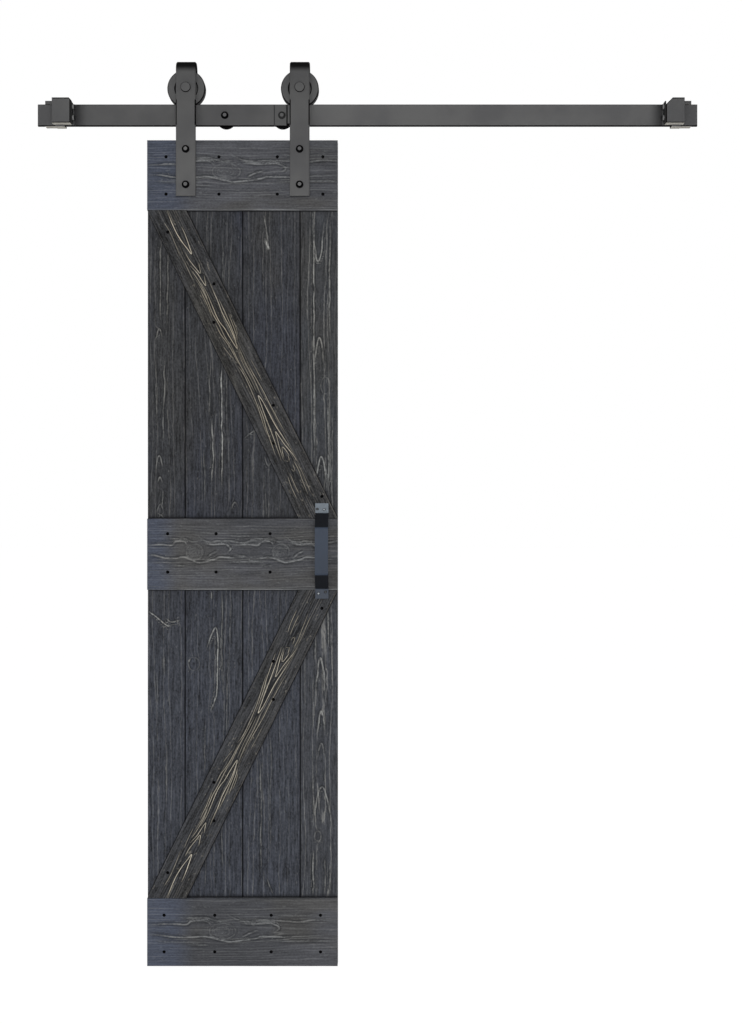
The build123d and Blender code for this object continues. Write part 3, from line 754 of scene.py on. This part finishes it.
# boards: along runs from the left end, across runs down from the upper edge; all three share one figure
boardFigure = dict(
    paths=[
        ([(2, 76), (58, 73), (100, 75), (116, 66), (152, 65), (164, 75)], 0.9),
        ([(236, 70), (268, 73), (300, 72), (322, 72), (342, 83), (331, 93)], 1.0),
        ([(78, 57), (120, 58), (152, 57), (186, 66), (216, 64)], 0.6),
        ([(212, 52), (239, 64), (268, 66), (294, 64), (349, 65), (394, 68), (432, 63), (486, 66)], 0.75),
        ([(6, 101), (29, 101), (68, 107), (113, 108), (152, 106), (200, 117), (219, 119), (274, 112),
          (297, 106), (339, 107), (381, 106), (470, 102)], 1.0),
        ([(246, 107), (268, 96), (286, 91)], 0.9),
        ([(322, 118), (381, 118), (429, 117), (484, 118)], 0.6),
        ([(110, 128), (132, 128), (158, 128)], 0.5),
        ([(20, 118), (70, 119), (130, 120)], 0.35),
        ([(330, 50), (380, 52), (440, 49)], 0.4),
    ],
    loops=[(195, 92, 34, 20, 0.36), (193, 93, 20, 11, 0.28), (191, 93, 8, 4, 0.25)],
)


def boardLines(stretch, shifts, drop):  # the shared figure, stretched along a board, once at each shift
    paths, loops = [], []
    for shift in shifts:
        for points, strength in boardFigure["paths"]:
            paths.append(([(x * stretch + shift, y + drop) for x, y in points], strength))
        for x, y, halfLong, halfWide, strength in boardFigure["loops"]:
            loops.append((x * stretch + shift, y + drop, halfLong * stretch, halfWide, strength))
    return dict(paths=paths, loops=loops)


boardGrain = dict(
    woodGrain, edge=1.8, acrossPitch=2.3, ringWidth=6.5, wander=4.0, drift=5.0, deepAt=[0, 500],
    deep=[8, 14], wearAndHighlightWidth=4.0, wearAndHighlightFar=1.0, pith=92.0,
)
boardLook = dict(
    turn=math.pi / 2, patch=7.0, ragged=0.6, lineWidth=0.3, few=0.35, strength=0.3, furrow=0.12,
    tint=linear(70, 71, 75), contrast=1.5, speck=1.3, fleck=0.2, level=1.28, tanShare=0.1, warmShare=0.45,
    jag=3.5, pale=linear(146, 148, 149), figureWidth=3.6, figure=0.74, unbroken=0.25, trough=0.52, wearAndHighlight=0.75,
    sweep=("X", leafLeft + 60, leafLeft + 130, linear(62, 67, 79)),
)
boards = {
    "top_board": (dict(seed=53, **boardLines(1.05, [0], -11)), dict(seed=5)),
    "middle_board": (
        dict(seed=67, **boardLines(0.63, [0, 223], -6)),
        dict(seed=6, level=1.33, sweep=("X", leafLeft + 20, leafLeft + 90, linear(62, 67, 79))),
    ),
    "bottom_board": (dict(seed=71, **boardLines(1.0, [0], -7.6), wearAndHighlightFar=0.4), dict(seed=7, level=1.57)),
}
# braces: along runs from the end by the left edge; both share one figure, lines that close on the middle
braceFigure = [
    ([(24, 46), (54, 43), (87, 42), (116, 45), (135, 49), (154, 53), (129, 57), (103, 60), (77, 61)], 1.3),
    ([(180, 60), (195, 56), (209, 51), (193, 47), (164, 41), (141, 40)], 0.8),
    ([(216, 58), (229, 54), (243, 50), (229, 47), (203, 44), (177, 36)], 0.9),
    ([(190, 34), (216, 38), (248, 40), (280, 38)], 0.6),
    ([(229, 42), (261, 44), (296, 42), (326, 40), (345, 41), (364, 45), (393, 47), (424, 51), (400, 56),
      (364, 58), (326, 57), (293, 60), (267, 61), (242, 62)], 1.0),
    ([(287, 65), (326, 64), (364, 62), (387, 60), (406, 57)], 0.7),
    ([(332, 71), (364, 68), (390, 65), (405, 61)], 0.7),
    ([(351, 74), (374, 72), (393, 68)], 0.5),
    ([(216, 34), (248, 37), (280, 37), (313, 34), (345, 36), (384, 36), (409, 39)], 0.7),
    ([(245, 32), (274, 32), (296, 31), (322, 29)], 0.6),
    ([(345, 29), (371, 29), (393, 33), (419, 36), (461, 36)], 0.6),
    ([(48, 25), (74, 28), (106, 27), (151, 23)], 0.4),
    ([(403, 21), (418, 24), (442, 29)], 0.4),
    ([(158, 29), (183, 27), (216, 27)], 0.3),
    ([(734, 62), (702, 59), (670, 55), (644, 52), (608, 51), (574, 50), (557, 46), (586, 42), (612, 39),
      (644, 36), (676, 33), (708, 29), (737, 25)], 1.0),
    ([(463, 58), (495, 59), (521, 61), (553, 63), (586, 63), (618, 64), (644, 65), (676, 67)], 0.6),
    ([(576, 37), (615, 33), (644, 27), (676, 23), (715, 18)], 0.8),
    ([(463, 32), (482, 36), (508, 37), (553, 35), (586, 32), (624, 26), (657, 22)], 0.6),
    ([(754, 62), (731, 59), (702, 52), (676, 48), (659, 45), (679, 41), (708, 35), (737, 31)], 0.9),
    ([(731, 50), (715, 48), (703, 44), (712, 39), (731, 35)], 0.9),
    ([(728, 47), (737, 46), (745, 42), (740, 37)], 0.7),
    ([(754, 48), (767, 47), (775, 44), (765, 39)], 0.5),
    ([(747, 54), (773, 55), (805, 52), (844, 49)], 0.5),
    ([(754, 60), (786, 61), (815, 59), (841, 57)], 0.4),
    ([(773, 31), (805, 29), (831, 29)], 0.5),
    ([(776, 23), (805, 19), (842, 18)], 0.5),
    ([(463, 70), (492, 71), (528, 72)], 0.3),
    ([(400, 41), (450, 39), (500, 41), (545, 42)], 0.5),
    ([(415, 57), (460, 54), (520, 55), (560, 53)], 0.5),
    ([(430, 49), (470, 47), (515, 48), (550, 47)], 0.4),
]
braceGrain = dict(
    woodGrain, edge=1.6, acrossPitch=1.2, relief=0.2, ringWidth=5.5, wander=2.0, drift=2.2,
    deepAt=[0, 120, 470, 722, 870], deep=[0, 8, 14, 8, 0], bandHalf=26.0, wearAndHighlightWidth=2.2, wearAndHighlightNear=0.3,
    wearAndHighlightFar=0.9, pith=46.0, paths=braceFigure, close=True,
)
braceLook = dict(
    patch=5.0, ragged=0.5, lineWidth=0.3, few=0.3, strength=0.15, furrow=0.8, tint=linear(60, 60, 61),
    contrast=3.0, speck=2.0, fleck=0.2, tanShare=0.34, warmShare=0.45, jag=0.0, figureWidth=1.5, figure=1.0,
    pale=linear(212, 204, 187), unbroken=0.72, trough=1.0, wearAndHighlight=0.14,
    sweep=("X", leafLeft, leafLeft + 40, linear(56, 57, 60)),
)
braces = {
    "upper_brace": (dict(seed=83), dict(seed=8, level=0.85)),
    "lower_brace": (dict(seed=83), dict(seed=9, level=0.98)),
}


def placeWood(name, outline, grain, look):
    low, high = nodeBox(name)
    piece = makeBoard(name + "_wood", outline, low[1], high[1], grain, stainedWood(name + "Stain", look))
    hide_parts(name)
    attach(piece, "door")


seams = [nodeBox(name)[0][0] for name in planks] + [leafHigh[0]]
for index, (name, (grain, look)) in enumerate(planks.items()):
    outline = ((seams[index], leafTop), (0, leafLow[2] - leafTop), (seams[index + 1] - seams[index], 0))
    placeWood(name, outline, {**plankGrain, **grain}, {**plankLook, **look})
for name, (grain, look) in boards.items():
    low, high = nodeBox(name)
    outline = ((low[0], high[2]), (high[0] - low[0], 0), (0, low[2] - high[2]))
    placeWood(name, outline, {**boardGrain, **grain}, {**boardLook, **look})
for name, (grain, look) in braces.items():
    outline = braceOutline(name)
    lean = math.atan2(outline[1][0], outline[1][1])
    placeWood(name, outline, {**braceGrain, **grain}, {**braceLook, **look, "turn": -lean})
print("wood pieces made")


# nail and screw heads are set on points by a node tree
def headTree(name, taper):
    group = bpy.data.node_groups.new(name, "GeometryNodeTree")
    sockets = dict(
        Geometry="Geometry", Radius="Float", Height="Float", Sides="Int", Seed="Int", Finish="Material",
    )
    for label, kind in sockets.items():
        group.interface.new_socket(label, in_out="INPUT", socket_type="NodeSocket" + kind)
    group.interface.new_socket("Geometry", in_out="OUTPUT", socket_type="NodeSocketGeometry")
    new = group.nodes.new
    source, out = new("NodeGroupInput"), new("NodeGroupOutput")
    cone = new("GeometryNodeMeshCone")
    cone.fill_type = "NGON"
    narrow = new("ShaderNodeMath")
    narrow.operation = "MULTIPLY"
    narrow.inputs[1].default_value = taper
    turn = new("FunctionNodeRandomValue")
    turn.data_type = "FLOAT"
    turn.inputs[3].default_value = 6.283  # up to a full turn
    spin = new("ShaderNodeCombineXYZ")
    spin.inputs["X"].default_value = math.pi / 2
    place = new("GeometryNodeInstanceOnPoints")
    real = new("GeometryNodeRealizeInstances")
    coat = new("GeometryNodeSetMaterial")
    links = [
        (source, "Sides", cone, "Vertices"), (source, "Radius", cone, "Radius Bottom"),
        (source, "Radius", narrow, 0), (narrow, 0, cone, "Radius Top"), (source, "Height", cone, "Depth"),
        (source, "Seed", turn, "Seed"), (turn, 1, spin, "Y"), (source, "Geometry", place, "Points"),
        (cone, "Mesh", place, "Instance"), (spin, "Vector", place, "Rotation"),
        (place, "Instances", real, "Geometry"), (real, "Geometry", coat, "Geometry"),
        (source, "Finish", coat, "Material"), (coat, "Geometry", out, "Geometry"),
    ]
    for giver, output, taker, entry in links:
        group.links.new(giver.outputs[output], taker.inputs[entry])
    return group


def setHeads(name, points, settings, material):
    mesh = bpy.data.meshes.new(name + "Points")
    mesh.from_pydata(points, [], [])
    holder = bpy.data.objects.new(name + "Points", mesh)
    scene.collection.objects.link(holder)
    tree = headTree(name + "Tree", settings["taper"])
    modifier = holder.modifiers.new("heads", "NODES")
    modifier.node_group = tree
    values = {
        "Radius": settings["radius"] * mm, "Height": settings["height"] * mm, "Sides": settings["sides"],
        "Seed": settings["seed"], "Finish": material,
    }
    for item in tree.interface.items_tree:
        if item.in_out == "INPUT" and item.name in values:
            modifier[item.identifier] = values[item.name]
    bpy.context.view_layer.update()
    evaluated = holder.evaluated_get(bpy.context.evaluated_depsgraph_get())
    result = bpy.data.meshes.new_from_object(evaluated)
    holder.modifiers.clear()
    bpy.data.objects.remove(holder)
    piece = bpy.data.objects.new(name, result)
    scene.collection.objects.link(piece)
    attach(piece, "door")
    return piece


# nails, in mm across from the leaf's left edge and down from its top
nailSet = dict(
    radius=4.3, height=1.4, sides=16, sink=0.45, seed=4, taper=0.85,
    boardRows=dict(top_board=(43.2, 139.6), middle_board=(1016.8, 1115.8), bottom_board=(2002.0, 2096.5)),
    boardColumns=dict(
        top_board=(49.0, 185.7, 336.4, 454.0), middle_board=(53.3, 178.2, 317.8),
        bottom_board=(44.0, 174.8, 320.6, 448.0),
    ),
    brace=[(53.4, 237.6), (172.7, 371.5), (172.5, 470.8), (326.4, 684.8), (326.4, 783.0), (451.5, 920.3)],
    mirror=2129.6,  # the lower brace's nails mirror the upper one's
)
nails = []
for name, rows in nailSet["boardRows"].items():
    for column in nailSet["boardColumns"][name]:
        nails += [(column, row) for row in rows]
for across, down in nailSet["brace"]:
    nails += [(across, down), (across, nailSet["mirror"] - down)]
boardFront = nodeBox("top_board")[0][1]
nailPiece = setHeads(
    "board_nails",
    [((leafLeft + x) * mm, (boardFront + nailSet["sink"]) * mm, (leafTop - z) * mm) for x, z in nails],
    nailSet, metal["nail"],
)
print("nails set:", len(nails))

# handle screws, one dark and one pale in each foot, in mm across from the handle's middle and down from its
# top, or up from its foot where the value is negative
screwSet = dict(
    radius=3.6, height=2.2, sides=18, sink=0.6, seed=9, taper=0.7, footThick=4.0,
    spots=dict(
        handle_screws_dark=("darkScrew", [(-11.8, 14.9), (9.3, -17.0)]),
        handle_screws_pale=("screw", [(6.0, 16.2), (-8.7, -13.2)]),
    ),
)
footFront = boardFront - screwSet["footThick"]
handleX = (handleLow[0] + handleHigh[0]) / 2
for name, (finish, places) in screwSet["spots"].items():
    spots = []
    for across, down in places:
        height = handleHigh[2] - down if down > 0 else handleLow[2] - down
        spots.append(((handleX + across) * mm, (footFront - screwSet["sink"]) * mm, height * mm))
    setHeads(name, spots, screwSet, metal[finish])
print("handle screws set")


# lamps are (place, size, power), in metres and watts
studio = dict(
    lamps=dict(
        keyLamp=((0.5, -4.6, -1.0), 2.4, 75.5),
        sideLamp=((-3.0, -3.4, -0.6), 2.6, 26.0),
        leftLamp=((-3.6, 0.1, -0.9), 2.6, 24.0),
        rightLamp=((3.8, 0.1, -0.9), 2.6, 24.0),
        rearLamp=((0.4, 4.6, 0.2), 2.4, 76.0),
    ),
    lampTarget=(0.1, -0.05, -1.25), worldLow=0.62, worldHigh=0.3, worldTurn=0.9,
    floorDrop=12.0, floorReach=40.0, floorTone=(0.9, 0.9, 0.9, 1), white=1.075, whiteShare=0.9,
    camera=(0.2323, -3.556, -1.0282), lens=47.645, sensor=36.0,
)
pureWhite = (1, 1, 1, 1)


def seenWhite(t):  # 1 for what the eye, a reflection or a glass sees
    path = t.add("ShaderNodeLightPath").outputs
    seen = t.math("MAXIMUM", path["Is Camera Ray"], path["Is Glossy Ray"])
    return t.math("MAXIMUM", seen, path["Is Transmission Ray"])


def paleFloor():  # white to the eye, with a share of matt that keeps the shadow
    t = Tree(bpy.data.materials.new("floorWhite"))
    share = t.math("MULTIPLY", seenWhite(t), studio["whiteShare"])
    matt = t.add("ShaderNodeBsdfDiffuse", {"Color": studio["floorTone"]})
    white = t.add("ShaderNodeEmission", {"Color": pureWhite, "Strength": studio["white"]})
    mixed = t.add("ShaderNodeMixShader", {0: share, 1: matt.outputs[0], 2: white.outputs[0]})
    return t.finish(mixed.outputs[0])


def paleSky():  # white to the eye and in reflections; as a light it is softer overhead
    t = Tree(bpy.data.worlds.new("studioWorld"))
    heading = t.split(t.add("ShaderNodeTexCoord").outputs["Generated"])
    overhead = t.line(heading["Z"], 0.0, studio["worldTurn"], studio["worldLow"], studio["worldHigh"])
    level = t.line(seenWhite(t), 0.0, 1.0, overhead, 1.0)
    glow = t.add("ShaderNodeBackground", {"Color": pureWhite, "Strength": level})
    return t.finish(glow.outputs[0], "ShaderNodeOutputWorld")


def softLamp(name, place, size, power):
    lamp = bpy.data.lights.new(name, "AREA")
    lamp.shape = "SQUARE"
    lamp.size = size
    lamp.energy = power
    holder = bpy.data.objects.new(name, lamp)
    holder.location = place
    aim = Vector(studio["lampTarget"]) - Vector(place)
    holder.rotation_euler = aim.to_track_quat("-Z", "Y").to_euler()
    holder.visible_camera = False
    scene.collection.objects.link(holder)


floorZ = (leafLow[2] - studio["floorDrop"]) * mm
reach = studio["floorReach"]
floorMesh = bpy.data.meshes.new("floor")
floorMesh.from_pydata(
    [(x * reach, y * reach, floorZ) for x, y in ((-1, -1), (1, -1), (1, 1), (-1, 1))], [], [(0, 1, 2, 3)],
)
floorMesh.materials.append(paleFloor())
floor = bpy.data.objects.new("floor", floorMesh)
scene.collection.objects.link(floor)
scene.world = paleSky()
for name, (place, size, power) in studio["lamps"].items():
    softLamp(name, place, size, power)

cameraData = bpy.data.cameras.new("camera")
cameraData.lens = studio["lens"]
cameraData.sensor_width = studio["sensor"]
cameraData.sensor_fit = "AUTO"
camera = bpy.data.objects.new("camera", cameraData)
camera.location = studio["camera"]
camera.rotation_euler = (math.pi / 2, 0, 0)
scene.collection.objects.link(camera)
scene.camera = camera
print("studio ready")
